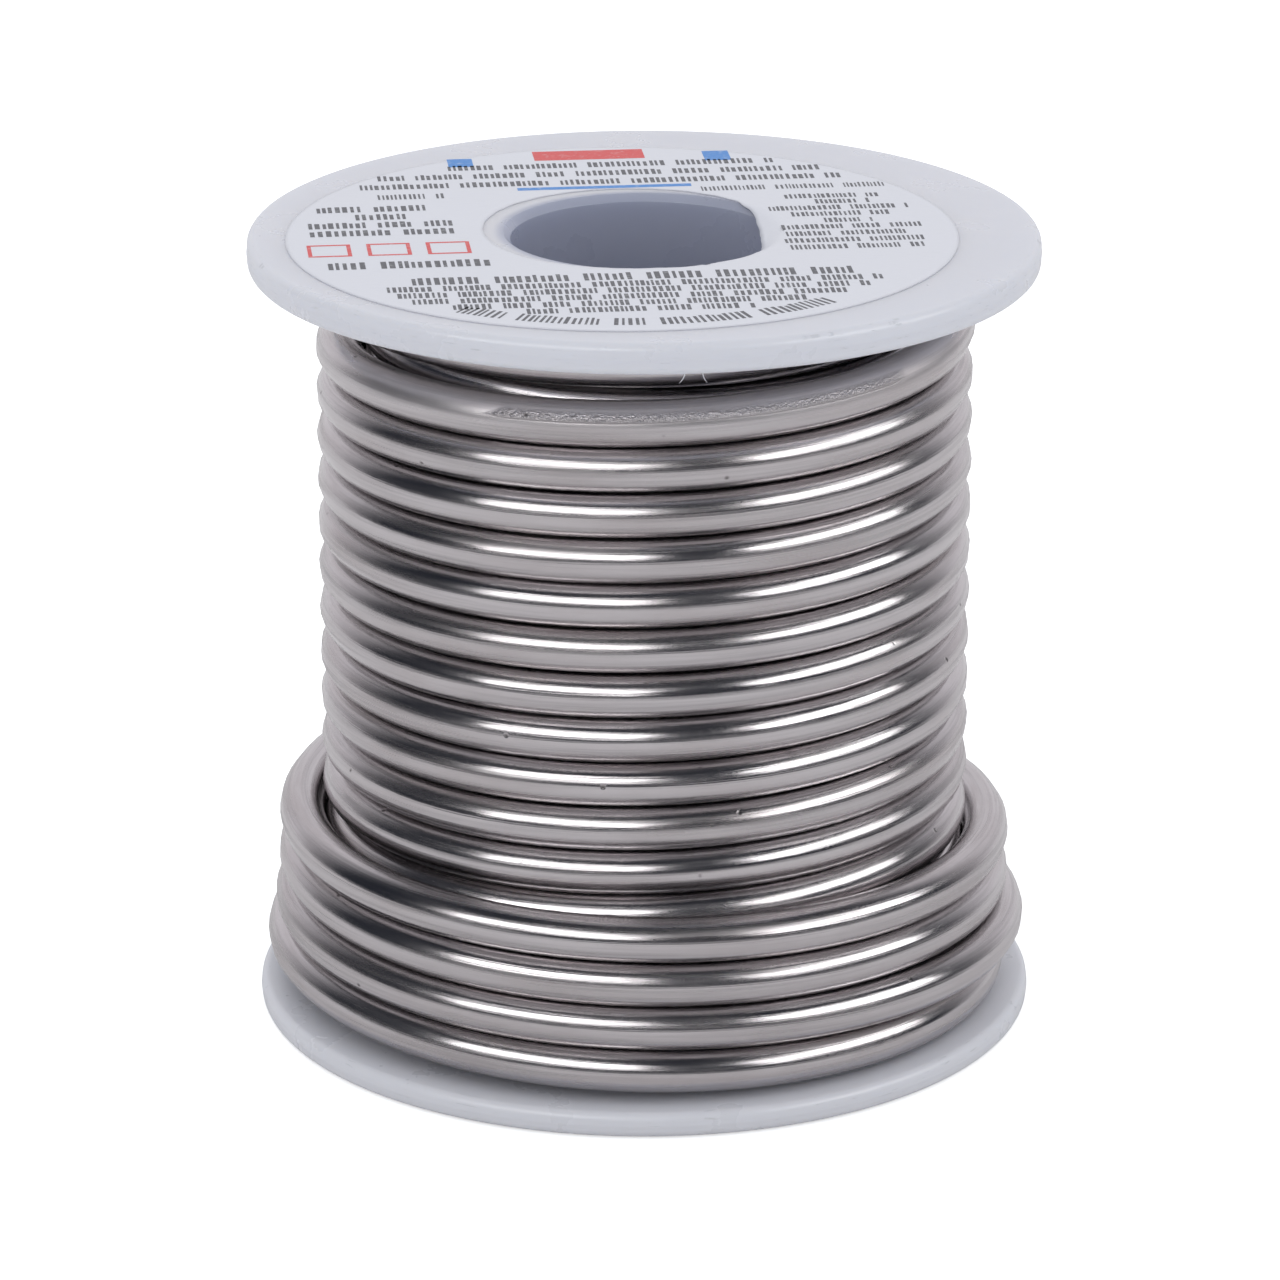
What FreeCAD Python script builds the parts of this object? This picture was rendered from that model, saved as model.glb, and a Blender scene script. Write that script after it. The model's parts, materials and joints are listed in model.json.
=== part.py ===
"""Spool of flux-cored solder wire: a one-piece moulded spool, its two paper labels and the wound wire.

Frame: millimetres, +Z up along the spool's axis, origin at the centre of the underside.
The wire is one length. It is split at each reversal of the winding, so every layer is a node of its own,
and its flux core is split at the same places.
"""
import FreeCAD, Part
import Sketcher
import math
import os

# alias, value in mm (or turns, or a count), what it is
SIZES = [
    ("overall_height", 56.75, "from the underside of the lower label to the top of the upper one"),
    ("flange_radius", 27.6, "outside radius of both flanges"),
    ("upper_flange_thickness", 2.2, "moulded wall of the upper flange"),
    ("lower_flange_thickness", 1.8, "moulded wall of the lower flange"),
    ("rim_round", 0.6, "round on both edges of each flange's rim"),
    ("bore_radius", 9.3, "through hole for the spindle"),
    ("mouth_chamfer", 0.5, "chamfer at both mouths of the bore"),
    ("hub_wall", 1.15, "wall of the hub, between the bore and the winding"),
    ("hub_round", 0.4, "inside corner between the hub and each flange"),
    ("label_thickness", 0.1, "paper and adhesive"),
    ("label_radius", 23.3, "outside radius of both labels"),
    ("label_hole_margin", 1.0, "how much larger than the bore the hole in a label is, in radius"),
    ("upper_label_x", -1.53, "how far off centre the upper label is stuck, across"),
    ("upper_label_y", -1.34, "how far off centre the upper label is stuck, front to back"),
    ("upper_hole_x", -0.9, "centre of the upper label's hole, across"),
    ("upper_hole_y", 0.47, "centre of the upper label's hole, front to back"),
    ("lower_label_x", 0.7, "how far off centre the lower label is stuck, across"),
    ("lower_label_y", -0.5, "how far off centre the lower label is stuck, front to back"),
    ("wire_diameter", 3.175, "solder wire, an eighth of an inch"),
    ("core_diameter", 1.27, "flux core inside the wire"),
    ("turn_gap", 0.025, "space between neighbouring turns"),
    ("seat_gap", 0.02, "space between the wire and the moulded spool"),
    ("crossing_gap", 0.02, "space between a turn and the turns that it lies on, less than turn_gap"),
    ("hug_turns", 0.25, "how far the wire follows a flange before it turns back, in turns"),
    ("top_hug_turns", 0.3, "the same under the upper flange, before the fourth layer"),
    ("last_hug_turns", 0.5, "the same on the lower flange, before the fifth layer"),
    ("lead_in_drop", 1.2, "how much further than the pitch the fourth layer's first turn drops"),
    ("lead_in_turns", 0.7, "over how much of a turn it does so"),
    ("outer_turns", 3.54, "turns in the unfinished fifth layer"),
    ("front_turns", 0.0, "how far past the front the fourth layer's climb starts, in turns"),
    ("samples_per_turn", 36, "points worked out along each turn"),
    ("samples_per_span", 3, "how many of them each pair of arcs spans"),
    ("bridge_samples", 2, "how many of them a stiff wire bridges where it climbs"),
]

LAYERS = 5
TOP_CLIMB = 3  # the fourth layer starts under the upper flange, and its climb sets where the turns lie

doc = FreeCAD.newDocument("solder_wire_spool")
sheet = doc.addObject("Spreadsheet::Sheet", "sizes")
for row, (alias, value, note) in enumerate(SIZES, start=1):
    sheet.set(f"A{row}", note)
    sheet.set(f"B{row}", str(value))
    sheet.setAlias(f"B{row}", alias)
doc.recompute()


def size(alias):
    """The value that the sheet holds under this alias."""
    return float(getattr(sheet, alias))


# ---------------------------------------------------------------- the moulded spool

def origin_plane(body, role):
    """One of a body's own origin planes."""
    return next(plane for plane in body.Origin.OriginFeatures if plane.Role == role)


def circle_sketch(body, name, radius, height):
    """A circle about the axis, on the body's XY plane lifted to a height. Both sizes are expressions."""
    sketch = body.newObject("Sketcher::SketchObject", name)
    sketch.AttachmentSupport = [(origin_plane(body, "XY_Plane"), "")]
    sketch.MapMode = "FlatFace"
    sketch.setExpression("AttachmentOffset.Base.z", height)
    sketch.addGeometry(Part.Circle(FreeCAD.Vector(0, 0, 0), FreeCAD.Vector(0, 0, 1), 10), False)
    sketch.addConstraint(Sketcher.Constraint("Coincident", 0, 3, -1, 1))
    radius_index = sketch.addConstraint(Sketcher.Constraint("Radius", 0, 10))
    sketch.setExpression(f"Constraints[{radius_index}]", radius)
    sketch.Visibility = False
    return sketch


def disc(body, name, radius, bottom, thickness):
    """A round pad about the axis: a flange or the hub."""
    pad = body.newObject("PartDesign::Pad", name)
    pad.Profile = circle_sketch(body, name + "_outline", radius, bottom)
    pad.setExpression("Length", thickness)
    doc.recompute()
    return pad


def round_edges(shape, radius, heights):
    """Names of the circular edges of this radius that lie at one of these heights."""
    names = []
    for number, edge in enumerate(shape.Edges, start=1):
        curve = edge.Curve
        if not isinstance(curve, Part.Circle) or abs(curve.Radius - radius) > 1e-4:
            continue
        if any(abs(curve.Center.z - height) < 1e-4 for height in heights):
            names.append(f"Edge{number}")
    return names


def dress(body, kind, name, base, edges, prop, expression):
    """A fillet or chamfer on some of the edges of a feature."""
    feature = body.newObject(kind, name)
    feature.Base = (base, edges)
    feature.setExpression(prop, expression)
    doc.recompute()
    return feature


def make_spool():
    """Both flanges, the hub between them and the bore, moulded in one piece."""
    body = doc.addObject("PartDesign::Body", "spool_body")
    body.Label = "spool"
    base = "sizes.label_thickness"
    top = "sizes.overall_height - sizes.label_thickness"
    disc(body, "lower_flange", "sizes.flange_radius", base, "sizes.lower_flange_thickness")
    disc(body, "hub", "sizes.bore_radius + sizes.hub_wall", base, f"{top} - {base}")
    upper = f"{top} - sizes.upper_flange_thickness"
    flanges = disc(body, "upper_flange", "sizes.flange_radius", upper, "sizes.upper_flange_thickness")

    bore = body.newObject("PartDesign::Pocket", "bore")
    bore.Profile = circle_sketch(body, "bore_outline", "sizes.bore_radius", base)
    bore.setExpression("Length", f"{top} - {base}")
    bore.Reversed = True
    doc.recompute()
    if bore.Shape.Volume >= flanges.Shape.Volume:
        raise RuntimeError("the bore cut nothing")

    low = size("label_thickness")
    low_face = low + size("lower_flange_thickness")
    high = size("overall_height") - low
    high_face = high - size("upper_flange_thickness")
    hub_radius = size("bore_radius") + size("hub_wall")
    corners = round_edges(bore.Shape, hub_radius, (low_face, high_face))
    rounded = dress(body, "PartDesign::Fillet", "hub_corners", bore, corners, "Radius", "sizes.hub_round")
    rims = round_edges(rounded.Shape, size("flange_radius"), (low, low_face, high_face, high))
    rim_round = "min(sizes.rim_round; 0.45 * min(sizes.upper_flange_thickness; sizes.lower_flange_thickness))"
    rounded = dress(body, "PartDesign::Fillet", "rims", rounded, rims, "Radius", rim_round)
    mouths = round_edges(rounded.Shape, size("bore_radius"), (low, high))
    dress(body, "PartDesign::Chamfer", "mouths", rounded, mouths, "Size", "sizes.mouth_chamfer")
    body.Placement = FreeCAD.Placement()
    return body


# ---------------------------------------------------------------- the paper labels

def make_label(name, bottom, centre, hole_centre):
    """A paper disc with a hole a little larger than the bore, both as far off centre as they are stuck."""
    paper = doc.addObject("Part::Cylinder", name + "_paper")
    paper.setExpression("Radius", "sizes.label_radius")
    hole = doc.addObject("Part::Cylinder", name + "_hole")
    hole.setExpression("Radius", "sizes.bore_radius + sizes.label_hole_margin")
    for cylinder, (x, y) in ((paper, centre), (hole, hole_centre)):
        cylinder.setExpression("Height", "sizes.label_thickness")
        cylinder.setExpression("Placement.Base.x", x)
        cylinder.setExpression("Placement.Base.y", y)
        cylinder.setExpression("Placement.Base.z", bottom)
    label = doc.addObject("Part::Cut", name + "_cut")
    label.Base = paper
    label.Tool = hole
    label.Label = name
    label.Placement = FreeCAD.Placement()
    return label


# ---------------------------------------------------------------- the winding

def ease(share):
    """0 to 1 with a level start and end."""
    share = min(max(share, 0.0), 1.0)
    return share * share * (3 - 2 * share)


class Winding:
    """The route of the wire's centre line, one point for each sample along its turns.

    The heights are set first: the wire travels one pitch a turn between the flanges and follows the flange
    for a short way at each end. Each point's radius then comes from what it lies on, the hub or an earlier
    turn, so turns settle into the grooves below them and ride over the crossings.
    """

    def __init__(self):
        self.samples = int(size("samples_per_turn"))
        self.bridge = int(size("bridge_samples"))
        self.pitch = size("wire_diameter") + size("turn_gap")
        self.reach = size("wire_diameter") + size("crossing_gap")
        wire_radius = size("wire_diameter") / 2 + size("seat_gap")
        label = size("label_thickness")
        self.low = label + size("lower_flange_thickness") + wire_radius
        self.high = size("overall_height") - label - size("upper_flange_thickness") - wire_radius
        self.seat = size("bore_radius") + size("hub_wall") + wire_radius
        self.lead_in = [0.0] * LAYERS
        self.lead_in[TOP_CLIMB] = size("lead_in_drop")
        self.hug = [size("hug_turns")] * (LAYERS - 1)
        self.hug[TOP_CLIMB - 1] = size("top_hug_turns")
        self.hug[LAYERS - 2] = size("last_hug_turns")
        self.starts, self.breaks = self.plan_layers()
        self.heights = self.work_out_heights()
        self.radii = self.settle_radii()

    def plan_layers(self):
        """The turn at which each layer starts, and the turns at which the wire's nodes meet."""
        starts = [0.0]
        breaks = [0.0]
        for layer in range(LAYERS - 1):
            run = (self.high - self.low - self.lead_in[layer]) / self.pitch
            breaks.append(starts[-1] + run + self.hug[layer] / 2)
            starts.append(starts[-1] + run + self.hug[layer])
        breaks.append(starts[-1] + size("outer_turns"))
        return starts, breaks

    def height_at(self, turn):
        """Height of the wire's centre after this many turns. The first layer goes up, the next down."""
        layer = max(number for number, start in enumerate(self.starts) if start <= turn + 1e-9)
        run = turn - self.starts[layer]
        travel = self.pitch * run + self.lead_in[layer] * ease(run / size("lead_in_turns"))
        travel = min(travel, self.high - self.low)
        return self.low + travel if layer % 2 == 0 else self.high - travel

    def work_out_heights(self):
        """A height for every sample, with the corners at the flanges rounded."""
        count = round(self.breaks[-1] * self.samples) + 1
        sharp = [self.height_at(max(index, 0) / self.samples) for index in range(-self.bridge, count + self.bridge)]
        window = 2 * self.bridge + 1
        return [sum(sharp[index:index + window]) / window for index in range(count)]

    def resting_radius(self, index, radii):
        """How far out the wire lies at this sample, against the hub or any earlier turn."""
        radius = self.seat
        for under in range(index - self.samples, -1, -self.samples):
            apart = abs(self.heights[index] - self.heights[under])
            if apart < self.reach:
                radius = max(radius, radii[under] + math.sqrt(self.reach ** 2 - apart ** 2))
        return radius

    def settle_radii(self):
        """The radius of every sample. The wire is stiff, so it bridges the steps between what it lies on."""
        last = len(self.heights) - 1
        resting = []
        radii = []
        for index in range(last + 1):
            while len(resting) <= min(index + 2 * self.bridge, last):
                resting.append(self.resting_radius(len(resting), radii))
            crests = []
            for middle in range(index - self.bridge, index + self.bridge + 1):
                middle = min(max(middle, 0), last)
                near = resting[max(middle - self.bridge, 0):middle + self.bridge + 1]
                crests.append(max(near))
            radii.append(sum(crests) / len(crests))
        return radii

    def points(self):
        """The centre line. Seen from above it runs clockwise, and the front is at -Y."""
        climb = self.starts[TOP_CLIMB] - self.hug[TOP_CLIMB - 1]
        points = []
        for index, (radius, height) in enumerate(zip(self.radii, self.heights)):
            past_front = index / self.samples - climb + size("front_turns")
            angle = -math.pi / 2 - 2 * math.pi * past_front
            points.append(FreeCAD.Vector(radius * math.cos(angle), radius * math.sin(angle), height))
        return points


def arc_middle(start, along, end):
    """A point half way along the arc that leaves start in a direction and ends at end."""
    chord = end - start
    side = along - chord * (along.dot(chord) / chord.dot(chord))
    side.normalize()
    bulge = chord.Length / 2 * math.tan(along.getAngle(chord) / 2)
    return start + chord * 0.5 + side * bulge


def tangent_arcs(points, directions):
    """Arcs, each tangent to the next, through these points in these directions: two for each span."""
    arcs = []
    for start, end, leaving, arriving in zip(points, points[1:], directions, directions[1:]):
        chord = end - start
        both = leaving + arriving
        bend = 2 * (1 - leaving.dot(arriving))
        along = chord.dot(both)
        arm = (math.sqrt(along ** 2 + bend * chord.dot(chord)) - along) / bend
        meeting = (start + leaving * arm + end - arriving * arm) * 0.5
        arcs.append(Part.Arc(start, arc_middle(start, leaving, meeting), meeting).toShape())
        arcs.append(Part.Arc(meeting, arc_middle(end, -arriving, meeting), end).toShape())
    return arcs


def swept_wall(arcs, diameter):
    """The wall of a round bar along these arcs, open at both ends, and the circle at each end."""
    start, end = arcs[0].firstVertex().Point, arcs[-1].lastVertex().Point
    section = Part.Wire([Part.makeCircle(diameter / 2, start, arcs[0].tangentAt(arcs[0].FirstParameter))])
    wall = Part.Wire(arcs).makePipeShell([section], False, True)
    rings = [edge for edge in wall.Edges if edge.isClosed()]
    return wall, [min(rings, key=lambda ring: (ring.BoundBox.Center - tip).Length) for tip in (start, end)]


def swept_bar(arcs, diameter, hollow=0.0):
    """A round bar along these arcs, solid or with a round hole along its centre."""
    wall, ends = swept_wall(arcs, diameter)
    faces = list(wall.Faces)
    outlines = [[end] for end in ends]
    if hollow:
        lining, lining_ends = swept_wall(arcs, hollow)
        faces += lining.Faces
        outlines = list(zip(ends, lining_ends))
    for outline in outlines:
        rings = [Part.Wire([ring]) for ring in outline]
        faces.append(Part.makeFace(rings, "Part::FaceMakerBullseye"))
    bar = Part.Solid(Part.Shell(faces))
    bar.fix(1e-6, 1e-6, 1e-4)  # turns every face outwards
    expected = math.pi * (diameter ** 2 - hollow ** 2) / 4 * sum(arc.Length for arc in arcs)
    if abs(bar.Volume - expected) > 0.01 * expected:
        raise RuntimeError(f"a bar has {bar.Volume:.0f} mm3 where {expected:.0f} was due")
    return bar


def layer_arcs(winding):
    """The wire's centre line as arcs, in one list for each layer."""
    line = Part.BSplineCurve()
    line.interpolate(winding.points())
    knots = line.getKnots()
    step = int(size("samples_per_span"))
    layers = []
    for layer in range(LAYERS):
        first = round(winding.breaks[layer] * winding.samples)
        last = round(winding.breaks[layer + 1] * winding.samples)
        chosen = list(range(first, last - step // 2, step)) + [last]
        points = [line.value(knots[index]) for index in chosen]
        directions = [line.tangent(knots[index])[0] for index in chosen]
        layers.append(tangent_arcs(points, directions))
    return layers


def make_wire():
    """The solder of each layer, a tube of alloy, and the flux core inside it."""
    winding = Winding()
    layers = layer_arcs(winding)
    length = sum(arc.Length for arcs in layers for arc in arcs)
    print(f"wire length {length:.0f} mm in {winding.breaks[-1]:.2f} turns")
    wire_diameter = size("wire_diameter")
    core_diameter = size("core_diameter")
    parts = []
    for number, arcs in enumerate(layers, start=1):
        alloy = swept_bar(arcs, wire_diameter, core_diameter)
        core = swept_bar(arcs, core_diameter)
        for name, shape in ((f"solder_layer_{number}", alloy), (f"flux_core_{number}", core)):
            part = doc.addObject("Part::Feature", name + "_sweep")
            part.Shape = shape
            part.Label = name
            part.Placement = FreeCAD.Placement()
            parts.append(part)
    return parts


# ---------------------------------------------------------------- build, check and write

top_of_spool = "sizes.overall_height - sizes.label_thickness"
subparts = [make_spool()]
subparts.append(make_label(
    "upper_label", top_of_spool,
    ("sizes.upper_label_x", "sizes.upper_label_y"), ("sizes.upper_hole_x", "sizes.upper_hole_y")))
subparts.append(make_label(
    "lower_label", "0", ("sizes.lower_label_x", "sizes.lower_label_y"), ("0", "0")))
subparts += make_wire()
doc.recompute()

for item in doc.Objects:
    if "Invalid" in item.State or "Error" in item.State:
        raise RuntimeError(f"{item.Name} did not compute: {item.State}")
for part in subparts:
    if part.Shape.isNull() or not part.Shape.isValid() or len(part.Shape.Solids) != 1:
        raise RuntimeError(f"{part.Label} has no valid shape")

os.makedirs("parts", exist_ok=True)
for part in subparts:
    part.Shape.exportStep(f"parts/{part.Label}.step")
    print(f"{part.Label}: {part.Shape.Volume:.1f} mm3")
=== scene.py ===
"""The finished look of a spool of flux-cored solder wire, built around its CAD frame.

Lengths are in metres. +Z runs up the spool's axis, and -Y is the front.
"""

import json
import math
import random

import bmesh
import bpy
from mathutils import Matrix, Vector, noise


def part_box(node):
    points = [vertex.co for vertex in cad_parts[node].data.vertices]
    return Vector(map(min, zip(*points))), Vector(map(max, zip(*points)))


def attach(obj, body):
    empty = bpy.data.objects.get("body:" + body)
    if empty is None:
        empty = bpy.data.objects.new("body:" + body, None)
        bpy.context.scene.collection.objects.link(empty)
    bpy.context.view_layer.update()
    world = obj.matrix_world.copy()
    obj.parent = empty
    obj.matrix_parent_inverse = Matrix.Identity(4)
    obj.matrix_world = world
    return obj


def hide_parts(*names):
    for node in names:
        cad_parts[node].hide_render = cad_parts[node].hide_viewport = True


bl_info = {
    "name": "Solder Wire Spool",
    "version": (1, 0, 0),
    "blender": (4, 5, 0),
    "location": "3D View > Sidebar > Solder Spool",
    "description": "Builds a wound and labelled spool of solder wire around its CAD frame",
    "category": "Object",
}

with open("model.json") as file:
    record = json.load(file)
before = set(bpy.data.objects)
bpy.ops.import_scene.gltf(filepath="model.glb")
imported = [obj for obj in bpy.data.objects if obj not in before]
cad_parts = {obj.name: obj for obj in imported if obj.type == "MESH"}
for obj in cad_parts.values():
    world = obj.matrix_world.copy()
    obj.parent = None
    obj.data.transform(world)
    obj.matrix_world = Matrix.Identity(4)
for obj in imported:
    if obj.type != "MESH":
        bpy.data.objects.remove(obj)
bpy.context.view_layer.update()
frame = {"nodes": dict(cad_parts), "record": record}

MM = 0.001
BODY = "root"
SPOOL_LOW, SPOOL_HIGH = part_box("spool")
BORE = next(mount for mount in frame["record"]["mounts"] if mount["name"] == "spindle_bore")


# ---------------------------------------------------------------- settings

def length(name, description, default):
    """A property that holds a length in metres."""
    return bpy.props.FloatProperty(
        name=name, description=description, default=default, min=0.0, precision=6, unit="LENGTH")


def colour(name, description, default):
    """A property that holds a plain colour."""
    return bpy.props.FloatVectorProperty(
        name=name, description=description, default=default, min=0.0, max=1.0, size=3, subtype="COLOR")


def share(name, description, default):
    """A property that holds a plain number."""
    return bpy.props.FloatProperty(name=name, description=description, default=default)


class MouldingSettings(bpy.types.PropertyGroup):
    """Sizes and colour of the moulded spool."""

    upper_flange: length("Upper flange", "Moulded wall of the upper flange", 2.2 * MM)
    lower_flange: length("Lower flange", "Moulded wall of the lower flange", 1.8 * MM)
    hub_wall: length("Hub wall", "Wall between the bore and the winding", 1.15 * MM)
    rim_round: length("Rim round", "Round on the edges of each rim", 0.6 * MM)
    hub_round: length("Hub round", "Inside corner between hub and flange", 0.4 * MM)
    mouth_chamfer: length("Mouth chamfer", "Chamfer at the mouths of the bore", 0.5 * MM)
    parting_ridge: length("Parting ridge", "How far the mould's parting line stands out", 0.03 * MM)
    tint: colour("Plastic", "Milky polypropylene", (0.645, 0.64, 0.685))


class WindingSettings(bpy.types.PropertyGroup):
    """Sizes of the wire and how it is wound."""

    wire_diameter: length("Wire diameter", "Outside diameter of the solder wire", 3.175 * MM)
    core_diameter: length("Core diameter", "Diameter of the flux core", 1.27 * MM)
    turn_gap: length("Turn gap", "Space between neighbouring turns", 0.025 * MM)
    crossing_gap: length("Crossing gap", "Space between a turn and those below it", 0.02 * MM)
    lead_in_drop: length("Lead-in drop", "How much further the fourth layer's first turn drops", 1.2 * MM)
    lead_in_turns: share("Lead-in turns", "Over how much of a turn it does so", 0.7)
    hug_turns: share("Hug", "Turns that the wire follows a flange before it turns back", 0.25)
    top_hug_turns: share("Top hug", "The same before the fourth layer", 0.3)
    last_hug_turns: share("Last hug", "The same before the fifth layer", 0.5)
    outer_turns: share("Outer turns", "Turns in the unfinished fifth layer", 3.54)
    waver: length("Waver", "How far hand-wound turns stray from an even path", 0.02 * MM)
    tint: colour("Alloy", "Bright drawn tin-lead alloy", (0.585, 0.560, 0.572))
    flux: colour("Rosin", "Clear amber rosin", (0.55, 0.27, 0.06))


class LabelSettings(bpy.types.PropertyGroup):
    """Colours and set-out of the paper labels."""

    paper: length("Paper", "Thickness of the paper", 0.08 * MM)
    ink_depth: length("Ink depth", "How far the print stands above the paper", 0.006 * MM)
    turn: bpy.props.FloatProperty(
        name="Turn", description="How far the label is turned", default=math.radians(6), subtype="ANGLE")
    tint: colour("Paper", "Coated white paper", (0.745, 0.74, 0.79))
    black_ink: colour("Black ink", "Small print", (0.10, 0.10, 0.115))
    red_ink: colour("Red ink", "Name plate and boxes", (0.72, 0.07, 0.07))
    blue_ink: colour("Blue ink", "Blocks and rule", (0.05, 0.25, 0.66))


class StudioSettings(bpy.types.PropertyGroup):
    """Camera, lights and surroundings."""

    distance: length("Distance", "From the camera to the axis", 0.4471)
    elevation: bpy.props.FloatProperty(
        name="Elevation", description="Camera above the horizon", default=math.radians(19.19),
        subtype="ANGLE")
    lens: share("Lens", "Focal length in millimetres", 177.4)
    shift_x: share("Shift across", "Lens shift across", -0.0033)
    shift_y: share("Shift up", "Lens shift up", -0.0195)
    box_power: share("Soft box power", "Watts of each soft box", 1.7)
    overhead_power: share("Overhead power", "Watts of the overhead light", 0.3)
    ambient: share("Ambient", "Brightness of the surroundings", 0.99)


# ---------------------------------------------------------------- mesh helpers

def add_object(name, data):
    """A new object in the scene."""
    made = bpy.data.objects.new(name, data)
    bpy.context.scene.collection.objects.link(made)
    return made


def finished(name, mesh, material, replaced=()):
    """An object of the part, with its material and body. The CAD nodes it stands for are hidden."""
    piece = add_object(name, mesh)
    mesh.materials.append(material)
    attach(piece, BODY)
    if replaced:
        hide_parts(*replaced)
    return piece


def mesh_from(bm, name, smooth=True):
    """Turns a bmesh into a mesh."""
    for face in bm.faces:
        face.smooth = smooth
    mesh = bpy.data.meshes.new(name)
    bm.to_mesh(mesh)
    bm.free()
    return mesh


def polar(radius, azimuth, height=0.0):
    """A point at an azimuth measured from the front, to the right."""
    return Vector((radius * math.sin(azimuth), -radius * math.cos(azimuth), height))


def rounded_outline(corners, segments=5):
    """The closed outline through corners (across, up, round), with an arc at each."""
    points = []
    for before, corner, after in zip(corners[-1:] + corners[:-1], corners, corners[1:] + corners[:1]):
        here = Vector(corner[:2])
        back = (Vector(before[:2]) - here).normalized()
        ahead = (Vector(after[:2]) - here).normalized()
        half = back.angle(ahead) / 2
        if corner[2] <= 0.0 or half > math.radians(89):
            points.append(here)
            continue
        centre = here + (back + ahead).normalized() * corner[2] / math.sin(half)
        first = here + back * corner[2] / math.tan(half) - centre
        last = here + ahead * corner[2] / math.tan(half) - centre
        sweep = first.angle_signed(last)
        for step in range(segments + 1):
            points.append(centre + Matrix.Rotation(-sweep * step / segments, 2) @ first)
    return points


# ---------------------------------------------------------------- material helpers

VECTOR, FLOAT = "NodeSocketVector", "NodeSocketFloat"
SHARED = {}


def fill(tree, node, inputs):
    """Gives each input, named or numbered, its value. Another node's output is linked instead."""
    for key, value in inputs:
        if isinstance(value, bpy.types.NodeSocket):
            tree.links.new(value, node.inputs[key])
        else:
            node.inputs[key].default_value = value


def add_node(tree, kind, inputs=(), **settings):
    """A node in a tree, with its settings and its filled inputs."""
    node = tree.nodes.new(kind)
    for key, value in settings.items():
        setattr(node, key, value)
    fill(tree, node, inputs)
    return node


def named(values):
    """Pairs of input name and value, from keywords with underscores for spaces."""
    return [(key.replace("_", " "), value) for key, value in values.items()]


class Shading:
    """A new material, with its node tree and its main shader."""

    def __init__(self, name):
        self.material = bpy.data.materials.new(name)
        self.material.use_nodes = True
        self.tree = self.material.node_tree
        self.shader = self.tree.nodes["Principled BSDF"]

    def set(self, **values):
        """Fills the shader's own inputs."""
        fill(self.tree, self.shader, named(values))


def object_place(tree):
    """Where a point is on the object."""
    return add_node(tree, "ShaderNodeTexCoord").outputs["Object"]


def stretch(tree, place, scale, location=(0.0, 0.0, 0.0), rotation=(0.0, 0.0, 0.0)):
    """A place that is scaled, moved and turned for a pattern."""
    return add_node(
        tree, "ShaderNodeMapping",
        (("Vector", place), ("Scale", scale), ("Location", location), ("Rotation", rotation))).outputs[0]


def cloudy(tree, place, scale=1.0, detail=3.0, roughness=0.5):
    """Noise at a place, from 0 to 1."""
    return add_node(
        tree, "ShaderNodeTexNoise",
        (("Vector", place), ("Scale", scale), ("Detail", detail), ("Roughness", roughness))).outputs["Fac"]


def ramp(tree, value, low, high, to_low=0.0, to_high=1.0):
    """Maps low..high to to_low..to_high, clamped and smooth."""
    return add_node(
        tree, "ShaderNodeMapRange",
        (("Value", value), ("From Min", low), ("From Max", high), ("To Min", to_low), ("To Max", to_high)),
        interpolation_type="SMOOTHSTEP", clamp=True).outputs[0]


def maths(tree, operation, *values):
    """One step of arithmetic."""
    return add_node(tree, "ShaderNodeMath", enumerate(values), operation=operation).outputs[0]


def blend(tree, factor, low, high):
    """A mix of two colours, each of them plain or another node's output."""
    ends = [end if isinstance(end, bpy.types.NodeSocket) else (*end, 1.0) for end in (low, high)]
    return add_node(
        tree, "ShaderNodeMix", ((0, factor), (6, ends[0]), (7, ends[1])), data_type="RGBA").outputs[2]


def bump(tree, height, distance, strength=1.0, invert=False, over=()):
    """A fine relief. Over may name the relief that it lies on, as (("Normal", output),)."""
    return add_node(
        tree, "ShaderNodeBump",
        (("Strength", strength), ("Distance", distance), ("Height", height), *over), invert=invert).outputs[0]


def mix_shaders(tree, factor, first, second):
    """The first shader where the factor is 0, and the second where it is 1."""
    return add_node(tree, "ShaderNodeMixShader", ((0, factor), (1, first), (2, second))).outputs[0]


def shade(tint, factor):
    """A darker or lighter version of a colour."""
    return tuple(factor * part for part in tint)


def new_group(name, inputs, outputs):
    """A node group with these sockets, what its input node hands on, and its output node."""
    group = bpy.data.node_groups.new(name, "ShaderNodeTree")
    for direction, sockets in (("INPUT", inputs), ("OUTPUT", outputs)):
        for socket, kind in sockets.items():
            group.interface.new_socket(name=socket, in_out=direction, socket_type=kind)
    return group, group.nodes.new("NodeGroupInput").outputs, group.nodes.new("NodeGroupOutput")


def place_group(tree, maker, **values):
    """A shared group in a tree. The group itself is built the first time that it is asked for."""
    if maker.__name__ not in SHARED:
        SHARED[maker.__name__] = maker()
    return add_node(tree, "ShaderNodeGroup", named(values), node_tree=SHARED[maker.__name__]).outputs


def lines_group():
    """Fine and broad lines that run along the first axis of a vector, as drawing marks do on wire."""
    group, given, result = new_group(
        "Drawn Lines", {"Place": VECTOR, "Along": FLOAT, "Across": FLOAT}, {"Fine": FLOAT, "Broad": FLOAT})
    for socket, closeness in (("Fine", 1.0), ("Broad", 0.3)):
        across = maths(group, "MULTIPLY", given["Across"], closeness)
        factors = add_node(group, "ShaderNodeCombineXYZ", ((0, given["Along"]), (1, across), (2, across)))
        scaled = add_node(
            group, "ShaderNodeVectorMath", ((0, given["Place"]), (1, factors.outputs[0])),
            operation="MULTIPLY").outputs[0]
        fill(group, result, ((socket, cloudy(group, scaled, roughness=0.62)),))
    return group


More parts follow.
